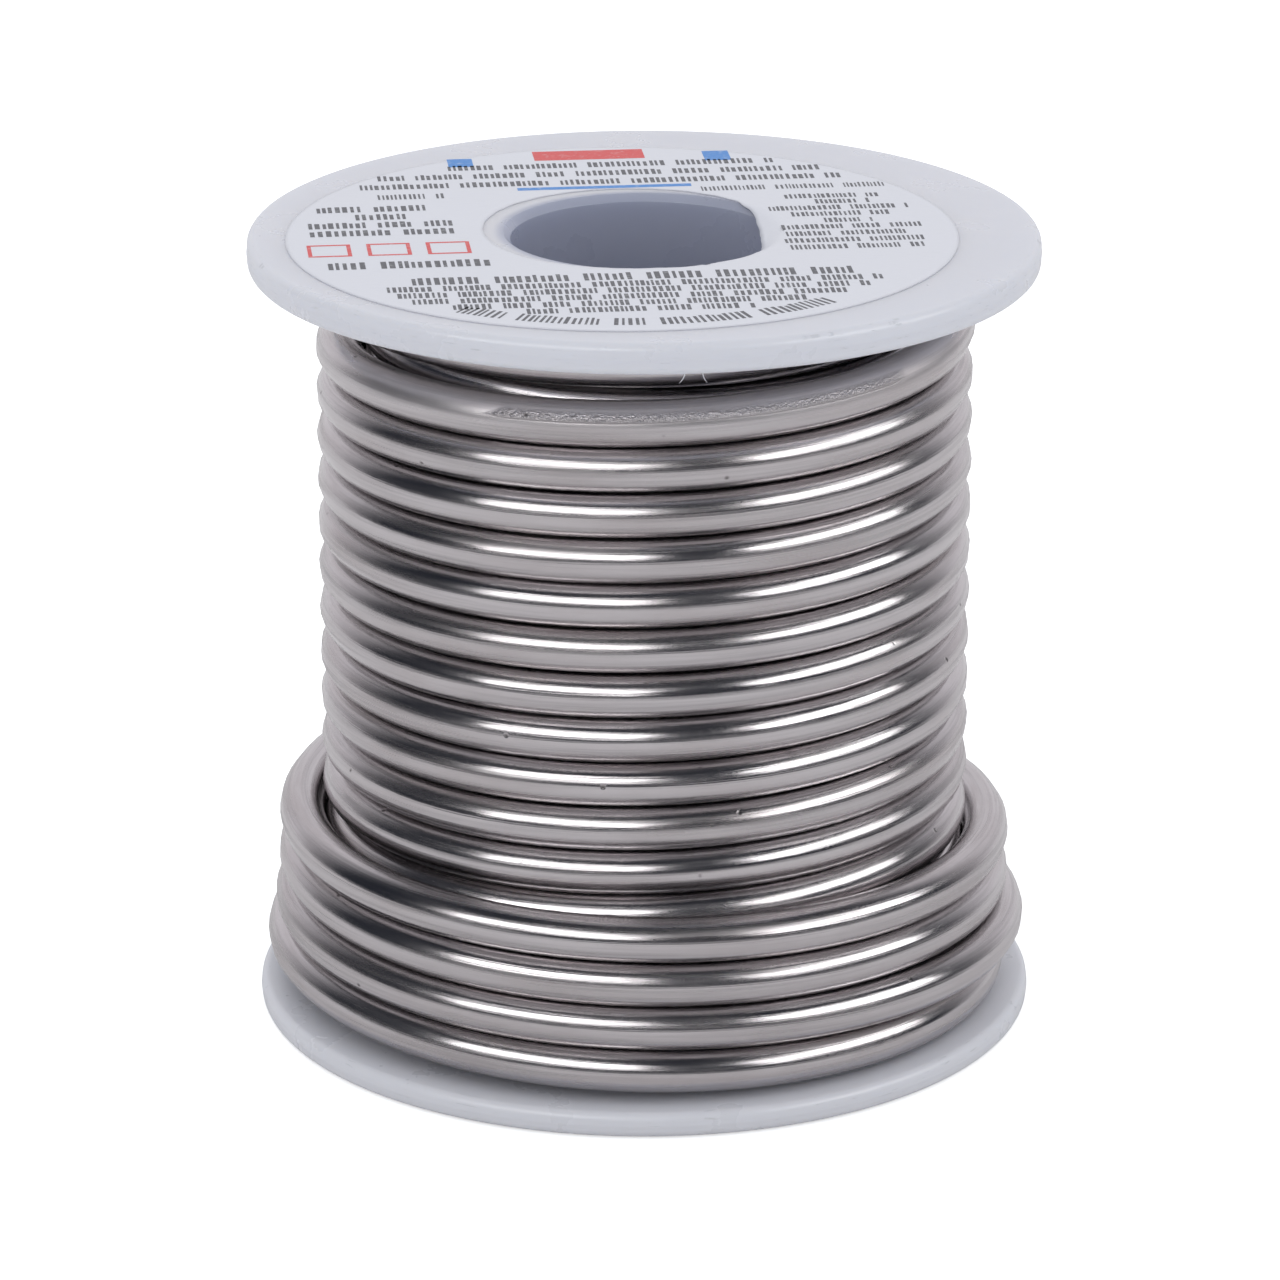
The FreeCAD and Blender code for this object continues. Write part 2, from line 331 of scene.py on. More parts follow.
def specks_group():
    """Scattered small specks: grit on plastic, pits in metal."""
    group, given, result = new_group(
        "Specks", {"Place": VECTOR, "Scale": FLOAT, "Size": FLOAT, "Share": FLOAT}, {"Mask": FLOAT})
    cells = add_node(
        group, "ShaderNodeTexVoronoi",
        (("Vector", given["Place"]), ("Scale", given["Scale"]), ("Randomness", 1.0)))
    near = add_node(
        group, "ShaderNodeMapRange",
        (("Value", cells.outputs["Distance"]), ("From Max", given["Size"]), ("To Min", 1.0), ("To Max", 0.0)),
        clamp=True)
    chosen = add_node(group, "ShaderNodeSeparateColor", ((0, cells.outputs["Color"]),))
    kept = maths(group, "LESS_THAN", chosen.outputs[0], given["Share"])
    fill(group, result, (("Mask", maths(group, "MULTIPLY", near.outputs[0], kept)),))
    return group


def around_axis_group():
    """Places a pattern round the Z axis with no seam.

    The first two axes follow the azimuth, and the third follows height and radius together.
    """
    group, given, result = new_group(
        "Around Axis", {"Object": VECTOR, "Turn Scale": FLOAT, "Height Scale": FLOAT},
        {"Place": VECTOR, "Radius": FLOAT})
    parts = add_node(group, "ShaderNodeSeparateXYZ", ((0, given["Object"]),)).outputs
    flat = add_node(group, "ShaderNodeCombineXYZ", ((0, parts[0]), (1, parts[1]))).outputs[0]
    radius = add_node(group, "ShaderNodeVectorMath", ((0, flat),), operation="LENGTH").outputs["Value"]
    heading = add_node(group, "ShaderNodeVectorMath", ((0, flat),), operation="NORMALIZE").outputs[0]
    turned = add_node(
        group, "ShaderNodeVectorMath", ((0, heading), ("Scale", given["Turn Scale"])), operation="SCALE")
    around = add_node(group, "ShaderNodeSeparateXYZ", ((0, turned.outputs[0]),)).outputs
    upwards = maths(group, "MULTIPLY", maths(group, "ADD", parts[2], radius), given["Height Scale"])
    place = add_node(group, "ShaderNodeCombineXYZ", ((0, around[0]), (1, around[1]), (2, upwards)))
    fill(group, result, (("Place", place.outputs[0]), ("Radius", radius)))
    return group


# ---------------------------------------------------------------- materials

TARNISH = (0.824, 0.80, 0.792)  # how much of the alloy's red, green and blue is left
PIT_DIRT = (0.10, 0.09, 0.085)
SCUFF_GREY = (0.42, 0.42, 0.44)
GRIT = (0.16, 0.15, 0.15)
# painted shade for the bore wall and the plastic close round its mouths
BORE_SHADE = (0.36, 0.375, 0.47)
FIBRE_GREY = (0.55, 0.55, 0.60)


def solder_material(tint):
    """Bright drawn alloy: lengthwise drawing lines, patches of tarnish, pits, and a rubbed strip."""
    shading = Shading("drawn_solder")
    tree = shading.tree
    place = add_node(tree, "ShaderNodeAttribute", attribute_name="wire_place").outputs["Vector"]
    rubbed = add_node(tree, "ShaderNodeAttribute", attribute_name="rubbed").outputs["Fac"]
    lines = place_group(tree, lines_group, Place=place, Along=45.0, Across=9000.0)
    pits = place_group(tree, specks_group, Place=place, Scale=420.0, Size=0.09, Share=0.40)["Mask"]
    clouds = cloudy(tree, stretch(tree, place, (70.0, 520.0, 520.0)), detail=4.0, roughness=0.6)
    tarnished = ramp(tree, clouds, 0.35, 0.75)

    tone = blend(tree, tarnished, tint, tuple(part * left for part, left in zip(tint, TARNISH)))
    tone = blend(tree, ramp(tree, lines["Broad"], 0.42, 0.72, to_high=0.55), tone, shade(tint, 0.62))
    tone = blend(tree, pits, tone, PIT_DIRT)

    rough = ramp(tree, lines["Broad"], 0.3, 0.75, 0.13, 0.27)
    rough = maths(tree, "MULTIPLY_ADD", tarnished, 0.10, rough)
    handled = stretch(tree, place, (48.0, 420.0, 420.0), location=(3.7, 1.1, 2.9))
    patches = ramp(tree, cloudy(tree, handled, detail=5.0, roughness=0.7), 0.60, 0.72, to_high=0.45)
    scuffing = maths(tree, "MAXIMUM", rubbed, patches)
    rough = maths(tree, "MULTIPLY_ADD", scuffing, 0.28, rough)

    sparkle = cloudy(tree, stretch(tree, place, (3200.0, 4800.0, 4800.0)), detail=2.0, roughness=0.7)
    scraped = maths(tree, "MULTIPLY", sparkle, ramp(tree, scuffing, 0.82, 1.0))
    relief = bump(tree, scraped, 0.32 * MM)
    relief = bump(tree, lines["Fine"], 0.012 * MM, over=(("Normal", relief),))
    relief = bump(tree, pits, 0.06 * MM, strength=0.8, invert=True, over=(("Normal", relief),))
    shading.set(Metallic=1.0, Base_Color=tone, Roughness=rough, Normal=relief)
    return shading.material


def rosin_material(tint):
    """Hard amber rosin with cloudy streaks."""
    shading = Shading("amber_rosin")
    tree = shading.tree
    clouds = cloudy(tree, object_place(tree), scale=1800.0, detail=4.0)
    shading.set(
        Roughness=0.25, Base_Color=blend(tree, clouds, shade(tint, 0.55), tint),
        Normal=bump(tree, clouds, 0.05 * MM, strength=0.4))
    return shading.material


def plastic_material(tint):
    """Milky moulded polypropylene: flow clouds, scuffs and scratches round the rims, and grit."""
    shading = Shading("milky_polypropylene")
    tree = shading.tree
    place = object_place(tree)
    around = place_group(tree, around_axis_group, Object=place, Turn_Scale=16.0, Height_Scale=9000.0)
    clouds = cloudy(tree, place, scale=120.0, detail=5.0, roughness=0.6)
    marks = ramp(tree, cloudy(tree, around["Place"], roughness=0.65), 0.63, 0.72)
    near_rim = ramp(tree, around["Radius"], SPOOL_HIGH.x - 1.0 * MM, SPOOL_HIGH.x - 0.3 * MM)
    scuffs = maths(tree, "MULTIPLY", marks, near_rim)
    # Painted shade: the plastic is darkened inside the bore and on the flange faces close round its mouths.
    mouth = (BORE["dims"]["r_mm"] + 0.45) * MM
    painted_bore_shade = ramp(tree, around["Radius"], mouth, mouth + 0.9 * MM, 1.0, 0.0)
    grit = place_group(tree, specks_group, Place=place, Scale=420.0, Size=0.06, Share=0.16)["Mask"]

    tone = blend(tree, clouds, shade(tint, 0.97), shade(tint, 1.02))
    tone = blend(tree, painted_bore_shade, tone, BORE_SHADE)
    tone = blend(tree, maths(tree, "MULTIPLY", scuffs, 0.45), tone, SCUFF_GREY)
    tone = blend(tree, grit, tone, GRIT)
    rough = maths(tree, "MULTIPLY_ADD", scuffs, 0.25, ramp(tree, clouds, 0.3, 0.7, 0.24, 0.38))
    relief = bump(tree, clouds, 0.05 * MM, strength=0.3)
    relief = bump(tree, scuffs, 0.04 * MM, strength=0.5, invert=True, over=(("Normal", relief),))
    shading.set(
        IOR=1.49, Subsurface_Weight=0.35, Subsurface_Scale=0.004, Subsurface_Radius=(0.9, 1.0, 1.15),
        Base_Color=tone, Roughness=rough, Normal=relief)
    return shading.material


def paper_material(tint):
    """Coated label paper: faint fibres, handling marks and a satin coat."""
    shading = Shading("label_paper")
    tree = shading.tree
    place = object_place(tree)
    lengthwise = stretch(tree, place, (900.0, 3600.0, 900.0), rotation=(0.0, 0.0, 0.6))
    fibres = cloudy(tree, lengthwise, detail=4.0, roughness=0.7)
    soil = cloudy(tree, place, scale=75.0)
    tone = blend(tree, soil, shade(tint, 0.94), tint)
    tone = blend(tree, ramp(tree, fibres, 0.45, 0.8, to_high=0.12), tone, FIBRE_GREY)
    shading.set(
        IOR=1.45, Base_Color=tone, Roughness=ramp(tree, soil, 0.3, 0.7, 0.42, 0.56),
        Normal=bump(tree, fibres, 0.03 * MM, strength=0.25))
    return shading.material


def ink_material(name, tint):
    """Printing ink that lies unevenly on the paper."""
    shading = Shading(name)
    tree = shading.tree
    lay = cloudy(tree, object_place(tree), scale=2600.0)
    thinned = tuple(part + 0.35 * (0.8 - part) for part in tint)
    shading.set(
        Base_Color=blend(tree, ramp(tree, lay, 0.45, 0.85), tint, thinned),
        Roughness=ramp(tree, lay, 0.3, 0.7, 0.38, 0.55))
    return shading.material


# ---------------------------------------------------------------- the moulded spool

CORNER_EASE = 0.08 * MM  # the small round on every other edge of the moulding
RIDGE_HALF_WIDTH = 0.1 * MM
ROUND_STEPS = 240
WHISKERS = ((2.7 * MM, -0.35 * MM), (3.9 * MM, 0.3 * MM))  # place across the front, and lean
WHISKER_RADIUS = 0.055 * MM
WHISKER_STEPS = 4


def spool_outline(sizes):
    """Half of the moulding's section, from the lower mouth of the bore outwards and round."""
    bore = BORE["dims"]["r_mm"] * MM
    hub = bore + sizes.hub_wall
    rim = SPOOL_HIGH.x - sizes.parting_ridge
    low, high = SPOOL_LOW.z, SPOOL_HIGH.z
    low_face, high_face = low + sizes.lower_flange, high - sizes.upper_flange
    mouth, edge = bore + sizes.mouth_chamfer, sizes.rim_round
    corners = [(mouth, low, CORNER_EASE), (rim, low, edge)]
    corners += parting_ridge(rim, (low + low_face) / 2, sizes.parting_ridge)
    corners += [(rim, low_face, edge), (hub, low_face, sizes.hub_round), (hub, high_face, sizes.hub_round)]
    corners += [(rim, high_face, edge)]
    corners += parting_ridge(rim, (high + high_face) / 2, sizes.parting_ridge)
    corners += [(rim, high, edge), (mouth, high, CORNER_EASE)]
    corners += [(bore, end, CORNER_EASE) for end in (high - sizes.mouth_chamfer, low + sizes.mouth_chamfer)]
    return rounded_outline(corners)


def parting_ridge(rim, height, depth):
    """The small ridge that the mould's parting line leaves round a rim."""
    foot, top = height - RIDGE_HALF_WIDTH, height + RIDGE_HALF_WIDTH
    return [(rim, foot, 0.0), (rim + depth, height, 0.0), (rim, top, 0.0)]


def make_moulding(sizes, material):
    """Flanges, hub and bore in one moulding, turned from its half section."""
    bm = bmesh.new()
    verts = [bm.verts.new((point.x, 0.0, point.y)) for point in spool_outline(sizes)]
    edges = [bm.edges.new(pair) for pair in zip(verts, verts[1:] + verts[:1])]
    bmesh.ops.spin(
        bm, geom=verts + edges, cent=(0, 0, 0), axis=(0, 0, 1), angle=2 * math.pi, steps=ROUND_STEPS,
        use_merge=True)
    bmesh.ops.remove_doubles(bm, verts=bm.verts[:], dist=1e-7)
    bmesh.ops.recalc_face_normals(bm, faces=bm.faces[:])
    piece = finished("moulded_spool", mesh_from(bm, "moulded_spool"), material, ("spool",))
    piece.data.set_sharp_from_angle(angle=math.radians(50))


def make_whiskers(sizes, material):
    """Two hairs of flash that the mould left under the front of the upper rim."""
    root = SPOOL_HIGH.z - sizes.upper_flange + 0.12 * MM
    curve = bpy.data.curves.new("flash_whiskers", "CURVE")
    curve.dimensions = "3D"
    curve.bevel_depth = WHISKER_RADIUS
    curve.bevel_resolution = 2
    curve.use_fill_caps = True
    for across, lean in WHISKERS:
        azimuth = math.asin(across / SPOOL_HIGH.x)
        spline = curve.splines.new("POLY")
        spline.points.add(WHISKER_STEPS)
        for step, point in enumerate(spline.points):
            along = step / WHISKER_STEPS
            inwards, drop = (0.45 + 0.1 * along) * MM, 0.75 * MM * along
            at = polar(SPOOL_HIGH.x - inwards, azimuth, root - drop)
            at.x += lean * along * along
            point.co = (*at, 1.0)
            point.radius = 1.0 - 0.75 * along
    from_curve(curve, "flash_whiskers", material)


def from_curve(curve, name, material, replaced=()):
    """Makes a curve into a mesh piece."""
    maker = add_object(name + "_route", curve)
    bpy.context.view_layer.update()
    mesh = bpy.data.meshes.new_from_object(maker.evaluated_get(bpy.context.evaluated_depsgraph_get()))
    bpy.data.objects.remove(maker)
    bpy.data.curves.remove(curve)
    for face in mesh.polygons:
        face.use_smooth = True
    mesh.name = name
    mesh.materials.clear()
    return finished(name, mesh, material, replaced)


def thicken(piece, name, thickness):
    """Gives a surface its thickness, inwards."""
    wall = piece.modifiers.new(name, "SOLIDIFY")
    wall.thickness = thickness
    wall.offset = -1.0


# ---------------------------------------------------------------- the labels

UP, DOWN = 1, -1  # the way that a label faces
PAPER_INSET, PRINT_INSET = 2.5, 1.5  # how far inside the label's CAD box, in depths of ink
RAGGED = 1.0 * MM  # how far from the hole's edge the cut is ragged
RAGGED_DEPTH = 0.10 * MM
TEAR_REACH = 2.4 * MM  # how far from the hole's edge a tear moves the paper
MOUTH_EDGE = 0.4 * MM  # how far outside the bore the paper loses its support
DROOP, MOST_DROOP = 0.6, 0.9 * MM
UPPER_HOLE_CENTRE = (-0.9 * MM, 0.47 * MM)
TEARS = (  # azimuth, width, and how far inwards the paper is moved
    (math.radians(92), 5.4 * MM, 1.3 * MM), (math.radians(29), 0.5 * MM, -0.45 * MM))


def label_middle(node, face, inset):
    """The middle of a label's outer face, this far inside its CAD box."""
    low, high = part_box(node)
    level = high.z - inset if face == UP else low.z + inset
    return Vector(((low.x + high.x) / 2, (low.y + high.y) / 2, level))


def ring_bmesh(outer, outer_centre, inner, inner_centre, rings=44):
    """A flat ring between two circles that needn't share a centre."""
    bm = bmesh.new()
    for radius, centre in ((outer, outer_centre), (inner, inner_centre)):
        bmesh.ops.create_circle(
            bm, segments=ROUND_STEPS, radius=radius, matrix=Matrix.Translation((centre[0], centre[1], 0.0)))
    circles = bm.edges[:]
    bridged = bmesh.ops.bridge_loops(bm, edges=circles)
    edge_of_ring = set(circles)
    across = [edge for edge in bridged["edges"] if edge not in edge_of_ring]
    bmesh.ops.subdivide_edges(bm, edges=across, cuts=rings, use_grid_fill=True)
    bmesh.ops.recalc_face_normals(bm, faces=bm.faces[:])
    if next(iter(bm.faces)).normal.z < 0:
        bmesh.ops.reverse_faces(bm, faces=bm.faces[:])
    return bm


def tear(point, out, hole_radius, azimuth, width, depth):
    """Moves a point near the hole's edge inwards (or outwards, if depth is negative) round one azimuth."""
    away = math.atan2(out.x, -out.y) - azimuth
    away = (away + math.pi) % (2 * math.pi) - math.pi
    near_edge = ease_in(1.0 - (out.length - hole_radius) / TEAR_REACH)
    share_here = math.exp(-(away * hole_radius / width) ** 2) * near_edge
    point.xy -= out.normalized() * depth * share_here


def make_paper(name, node, face, hole_centre, hole_radius, tears, sizes, material):
    """A paper disc with a roughly cut hole, drooping where it stands over the bore."""
    low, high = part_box(node)
    middle = label_middle(node, face, PAPER_INSET * sizes.ink_depth)
    bm = ring_bmesh((high.x - low.x) / 2, middle, hole_radius, hole_centre)
    mouth = BORE["dims"]["r_mm"] * MM + MOUTH_EDGE
    for vert in bm.verts:
        out = vert.co.xy - Vector(hole_centre)
        if out.length < hole_radius + RAGGED:
            ahead = out.normalized()
            rough = noise.noise(Vector((ahead.x * 9, ahead.y * 9, 3.0)))
            fade = 1.0 - (out.length - hole_radius) / RAGGED
            vert.co.xy += ahead * rough * RAGGED_DEPTH * fade
        for shape in tears:
            tear(vert.co, vert.co.xy - Vector(hole_centre), hole_radius, *shape)
        overhang = max(0.0, mouth - vert.co.xy.length)
        vert.co.z -= face * min(DROOP * overhang, MOST_DROOP)
    bmesh.ops.translate(bm, verts=bm.verts[:], vec=(0, 0, middle.z))
    if face == DOWN:
        bmesh.ops.reverse_faces(bm, faces=bm.faces[:])
    piece = finished(name, mesh_from(bm, name), material, (node,))
    thicken(piece, "paper", sizes.paper)


class Print:
    """Flat print on a label. Places are in millimetres from the label's centre, along its own axes."""

    def __init__(self, name, node, face, sizes, seed):
        self.name = name
        self.bm = bmesh.new()
        self.random = random.Random(seed)
        centre = label_middle(node, face, PRINT_INSET * sizes.ink_depth)
        self.frame = Matrix.Translation(centre) @ Matrix.Rotation(sizes.turn, 4, "Z") @ Matrix.Scale(MM, 4)
        if face == DOWN:
            self.frame = self.frame @ Matrix.Rotation(math.pi, 4, "Y")

    def bar(self, x, y, width, height, turn=0.0):
        """A filled oblong with its middle at x, y."""
        spot = Matrix.Translation((x, y, 0.0)) @ Matrix.Rotation(turn, 4, "Z")
        spot = spot @ Matrix.Diagonal((width, height, 1.0, 1.0))
        bmesh.ops.create_grid(self.bm, x_segments=1, y_segments=1, size=0.5, matrix=self.frame @ spot)

    def outline(self, x, y, side, line):
        """An empty square."""
        for sign in (-1, 1):
            self.bar(x, y + sign * (side - line) / 2, side, line)
            self.bar(x + sign * (side - line) / 2, y, line, side - 2 * line)

    def strokes(self, width, height, heavy):
        """Upright strokes that stand for a run of small print, as (place along, width, height)."""
        along = 0.0
        while along < width:
            for _ in range(self.random.randint(5, 16)):
                thick = self.random.uniform(0.14, 0.26) * height * heavy
                tall = height * self.random.choice((1.0, 1.0, 0.92, 0.85))
                if along + thick > width:
                    return
                yield along + thick / 2, thick, tall
                along += thick + self.random.uniform(0.09, 0.17) * height
            along += 0.5 * height

    def line(self, start, end, y, height, heavy):
        """A straight line of small print."""
        for along, thick, tall in self.strokes(end - start, height, heavy):
            self.bar(start + along, y + (tall - height) / 2, thick, tall)

    def arc(self, radius, start, end, height, heavy):
        """A line of small print that follows the front edge of the label."""
        for along, thick, tall in self.strokes(radius * (end - start), height, heavy):
            azimuth = start + along / radius
            at = radius - (tall - height) / 2
            self.bar(at * math.sin(azimuth), -at * math.cos(azimuth), thick, tall, azimuth)

    def finish(self, material):
        """The print as a piece of its own."""
        finished(self.name, mesh_from(self.bm, self.name, smooth=False), material)


# start, end, place up the label, height of the print, and how heavy it is
UPPER_LINES = (
    (-10.7, 13.2, 18.6, 1.35, 0.9), (-15.9, 16.3, 16.3, 1.35, 0.9), (-17.3, 17.4, 14.0, 1.35, 0.9),
    (-16.2, -11.3, 11.3, 1.3, 0.6), (-20.7, -12.7, 8.3, 1.45, 1.0), (-18.1, -14.3, 6.2, 1.45, 0.9),
    (-21.5, -11.3, 4.2, 1.45, 1.0), (-21.5, -11.0, 2.2, 1.45, 1.0), (-20.7, -9.2, -6.0, 1.7, 1.0),
    (6.8, 20.0, 11.3, 1.2, 0.6), (12.4, 19.3, 8.6, 1.15, 0.8), (14.4, 18.5, 7.1, 1.15, 0.8),
    (10.9, 20.8, 5.5, 1.15, 0.8), (12.3, 19.4, 3.9, 1.15, 0.8), (14.4, 18.0, 2.2, 1.15, 0.8),
    (11.2, 21.2, 0.6, 1.15, 0.8), (11.3, 20.3, -1.1, 1.15, 0.8), (11.0, 20.7, -2.8, 1.15, 0.8),
    (11.2, 20.6, -4.5, 1.15, 0.8),
    (-15.3, 15.2, -10.3, 1.7, 0.9), (-17.1, 16.7, -12.1, 1.25, 0.9), (-16.5, 15.6, -13.6, 1.25, 0.9),
    (-15.6, 13.6, -15.1, 1.25, 0.9), (-13.0, 11.0, -16.6, 1.25, 0.9), (-8.2, 7.4, -18.1, 1.25, 0.9))
UNDERSIDE_LINES = (
    (-13.0, 13.0, 14.6, 1.5, 0.9), (-10.5, 10.5, -13.6, 1.5, 0.9), (-8.0, 8.0, -15.8, 1.3, 0.9))
# x, y, width and height
NAME_PLATE = (-0.3, 21.3, 8.0, 2.5)
BLUE_BARS = ((-9.7, 20.0, 1.8, 2.2), (8.9, 20.2, 1.9, 2.6), (0.0, 12.45, 12.4, 0.7))


def make_upper_print(sizes):
    """The greeked print on the upper label: plain strokes, bars and empty boxes."""
    black = Print("upper_print_black", "upper_label", UP, sizes, seed=4)
    for line in UPPER_LINES:
        black.line(*line)
    black.arc(21.2, math.radians(-36), math.radians(36), 1.6, 0.7)
    black.finish(ink_material("black_ink", sizes.black_ink))
    red = Print("upper_print_red", "upper_label", UP, sizes, seed=5)
    red.bar(*NAME_PLATE)
    for column in range(3):
        red.outline(-20.4 + 4.1 * column, -2.1, side=3.0, line=0.28)
    red.finish(ink_material("red_ink", sizes.red_ink))
    blue = Print("upper_print_blue", "upper_label", UP, sizes, seed=6)
    for bar in BLUE_BARS:
        blue.bar(*bar)
    blue.finish(ink_material("blue_ink", sizes.blue_ink))


def make_lower_print(sizes):
    """A few greeked lines on the underside's label."""
    black = Print("lower_print_black", "lower_label", DOWN, sizes, seed=8)
    for line in UNDERSIDE_LINES:
        black.line(*line)
    black.finish(ink_material("underside_ink", sizes.black_ink))


# ---------------------------------------------------------------- the wire

def ease_in(part):
    """0 to 1 with a level start and end."""
    part = min(max(part, 0.0), 1.0)
    return part * part * (3 - 2 * part)


class Winding:
    """Where the wire's centre line runs: a height and a radius for each sample along its turns.

    The heights are set first: one pitch a turn between the flanges, and along a flange for a short way at
    each end. Each radius then comes from what the wire lies on, the hub or an earlier turn.
    """

    LAYERS = 5
    FOURTH = 3
    SAMPLES = 36  # a turn
    BRIDGE = 2  # how many samples each way stiff wire evens out
    FADE = 6  # over how many stations the waver grows from nothing at a layer's end

    def __init__(self, sizes):
        self.sizes = sizes
        self.wire = sizes.wire_diameter / 2
        low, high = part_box("solder_layer_3")
        self.low, self.high = low.z + self.wire, high.z - self.wire
        self.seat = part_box("solder_layer_1")[1].y - self.wire
        self.pitch = sizes.wire_diameter + sizes.turn_gap
        self.reach = sizes.wire_diameter + sizes.crossing_gap
        self.lead_in = [0.0] * self.LAYERS
        self.lead_in[self.FOURTH] = sizes.lead_in_drop
        self.hug = [sizes.hug_turns, sizes.hug_turns, sizes.top_hug_turns, sizes.last_hug_turns]
        self.plan_layers()
        self.heights = self.work_out_heights()
        self.radii = self.settle_radii()

    def plan_layers(self):
        """The turns at which layers start, pieces meet, and the third layer reaches the upper flange."""
        self.starts, self.breaks = [0.0], [0.0]
        for layer, hug in enumerate(self.hug):
            run = (self.high - self.low - self.lead_in[layer]) / self.pitch
            self.breaks.append(self.starts[-1] + run + hug / 2)
            self.starts.append(self.starts[-1] + run + hug)
        self.breaks.append(self.starts[-1] + self.sizes.outer_turns)
        self.arrival = self.starts[self.FOURTH] - self.hug[self.FOURTH - 1]

    def height_at(self, turn):
        """Height of the centre line after this many turns. The first layer goes up, the next down."""
        layer = max(number for number, start in enumerate(self.starts) if start <= turn + 1e-9)
        run = turn - self.starts[layer]
        travel = self.pitch * run + self.lead_in[layer] * ease_in(run / self.sizes.lead_in_turns)
        travel = min(travel, self.high - self.low)
        return self.low + travel if layer % 2 == 0 else self.high - travel

    def work_out_heights(self):
        """A height for every sample, with the corners at the flanges rounded."""
        count = round(self.breaks[-1] * self.SAMPLES) + 1
        wanted = range(-self.BRIDGE, count + self.BRIDGE)
        sharp = [self.height_at(max(index, 0) / self.SAMPLES) for index in wanted]
        window = 2 * self.BRIDGE + 1
        return [sum(sharp[index:index + window]) / window for index in range(count)]

    def resting_radius(self, index, radii):
        """How far out the wire lies at this sample, against the hub or any earlier turn."""
        radius = self.seat
        for under in range(index - self.SAMPLES, -1, -self.SAMPLES):
            apart = abs(self.heights[index] - self.heights[under])
            if apart < self.reach:
                radius = max(radius, radii[under] + math.sqrt(self.reach ** 2 - apart ** 2))
        return radius

    def settle_radii(self):
        """The radius of every sample. Stiff wire bridges the steps between what it lies on."""
        last = len(self.heights) - 1
        resting, radii = [], []
        for index in range(last + 1):
            while len(resting) <= min(index + 2 * self.BRIDGE, last):
                resting.append(self.resting_radius(len(resting), radii))
            crests = []
            for middle in range(index - self.BRIDGE, index + self.BRIDGE + 1):
                middle = min(max(middle, 0), last)
                crests.append(max(resting[max(middle - self.BRIDGE, 0):middle + self.BRIDGE + 1]))
            radii.append(sum(crests) / len(crests))
        return radii

    def azimuth_at(self, turn):
        """Azimuth after this many turns. The third layer reaches the upper flange at the front."""
        return -2 * math.pi * (turn - self.arrival)

    def at(self, turn):
        """The azimuth, radius and height of the centre line at any turn."""
        place = min(max(turn * self.SAMPLES, 0.0), len(self.heights) - 1.001)
        index = int(place)
        part = place - index
        radius = self.radii[index] * (1 - part) + self.radii[index + 1] * part
        height = self.heights[index] * (1 - part) + self.heights[index + 1] * part
        return self.azimuth_at(turn), radius, height

    def layer(self, number, per_turn):
        """The stations along one layer, as (turn, azimuth, radius, height), with a slight waver."""
        first, last = self.breaks[number], self.breaks[number + 1]
        count = math.ceil((last - first) * per_turn)
        stations = []
        for step in range(count + 1):
            turn = first + (last - first) * step / count
            azimuth, radius, height = self.at(turn)
            stray = self.sizes.waver * min(step, count - step, self.FADE) / self.FADE
            radius += stray * noise.noise(Vector((turn * 3.1, 0.0, number)))
            rise = 0.6 * stray * noise.noise(Vector((turn * 2.3, 5.0, number)))
            height = min(max(height + rise, self.low), self.high)
            stations.append((turn, azimuth, radius, height))
        return stations


# stations along each turn and bevel resolution, from the first layer to the fifth
LAYER_DETAIL = ((36, 2), (36, 2), (72, 4), (72, 4), (96, 5))
RUBBED_TURNS = (0.35, 1.6)  # counted from where the third layer reaches the upper flange
DULL_SHARE = 0.8


def rubbed_share(azimuth, lift, turn, winding):
    """How rubbed the wire is at an azimuth, and at a lift round it from its outermost line.

    The fourth layer's first turn is dull on top, with a scraped strip in front.
    """
    if not RUBBED_TURNS[0] < turn - winding.arrival < RUBBED_TURNS[1]:
        return 0.0
    near = math.degrees((azimuth + math.pi) % (2 * math.pi) - math.pi)
    dull = ease_in((lift - math.radians(13)) / 0.08) * ease_in((near + 75) / 30) * ease_in((78 - near) / 20)
    ends = ease_in((near + 34) / 10) * ease_in((56 - near) / 8)
    edges = ease_in((lift - math.radians(14)) / 0.08) * ease_in((math.radians(38) - lift) / 0.16)
    return max(DULL_SHARE * dull, ends * edges)


def mark_wire(mesh, stations, winding):
    """Writes each vertex's place along and round the wire, and how rubbed it is, as attributes."""
    mesh.attributes.new("wire_place", "FLOAT_VECTOR", "POINT")
    mesh.attributes.new("rubbed", "FLOAT", "POINT")
    place, rubbed = mesh.attributes["wire_place"], mesh.attributes["rubbed"]
    around = len(mesh.vertices) // len(stations)
    centres = [polar(radius, azimuth, height) for _, azimuth, radius, height in stations]
    run = 0.0
    for index, (turn, azimuth, _, _) in enumerate(stations):
        run += (centres[index] - centres[max(index - 1, 0)]).length
        for vert in range(index * around, (index + 1) * around):
            off = mesh.vertices[vert].co - centres[index]
            out = off.dot(polar(1.0, azimuth))
            place.data[vert].vector = (run, out, off.z)
            rubbed.data[vert].value = rubbed_share(azimuth, math.atan2(off.z, out), turn, winding)


def make_layer(winding, number, material):
    """One layer of the wound wire, a hollow tube round its flux core."""
    per_turn, resolution = LAYER_DETAIL[number]
    stations = winding.layer(number, per_turn)
    name = f"wire_layer_{number + 1}"
    curve = bpy.data.curves.new(name, "CURVE")
    curve.dimensions = "3D"
    curve.bevel_depth = winding.wire
    curve.bevel_resolution = resolution
    curve.use_fill_caps = False
    spline = curve.splines.new("POLY")
    spline.points.add(len(stations) - 1)
    for point, (_, azimuth, radius, height) in zip(spline.points, stations):
        point.co = (*polar(radius, azimuth, height), 1.0)
    piece = from_curve(curve, name, material, (f"solder_layer_{number + 1}",))
    mark_wire(piece.data, stations, winding)
    thicken(piece, "hollow", winding.wire - winding.sizes.core_diameter / 2)


# ---------------------------------------------------------------- the studio

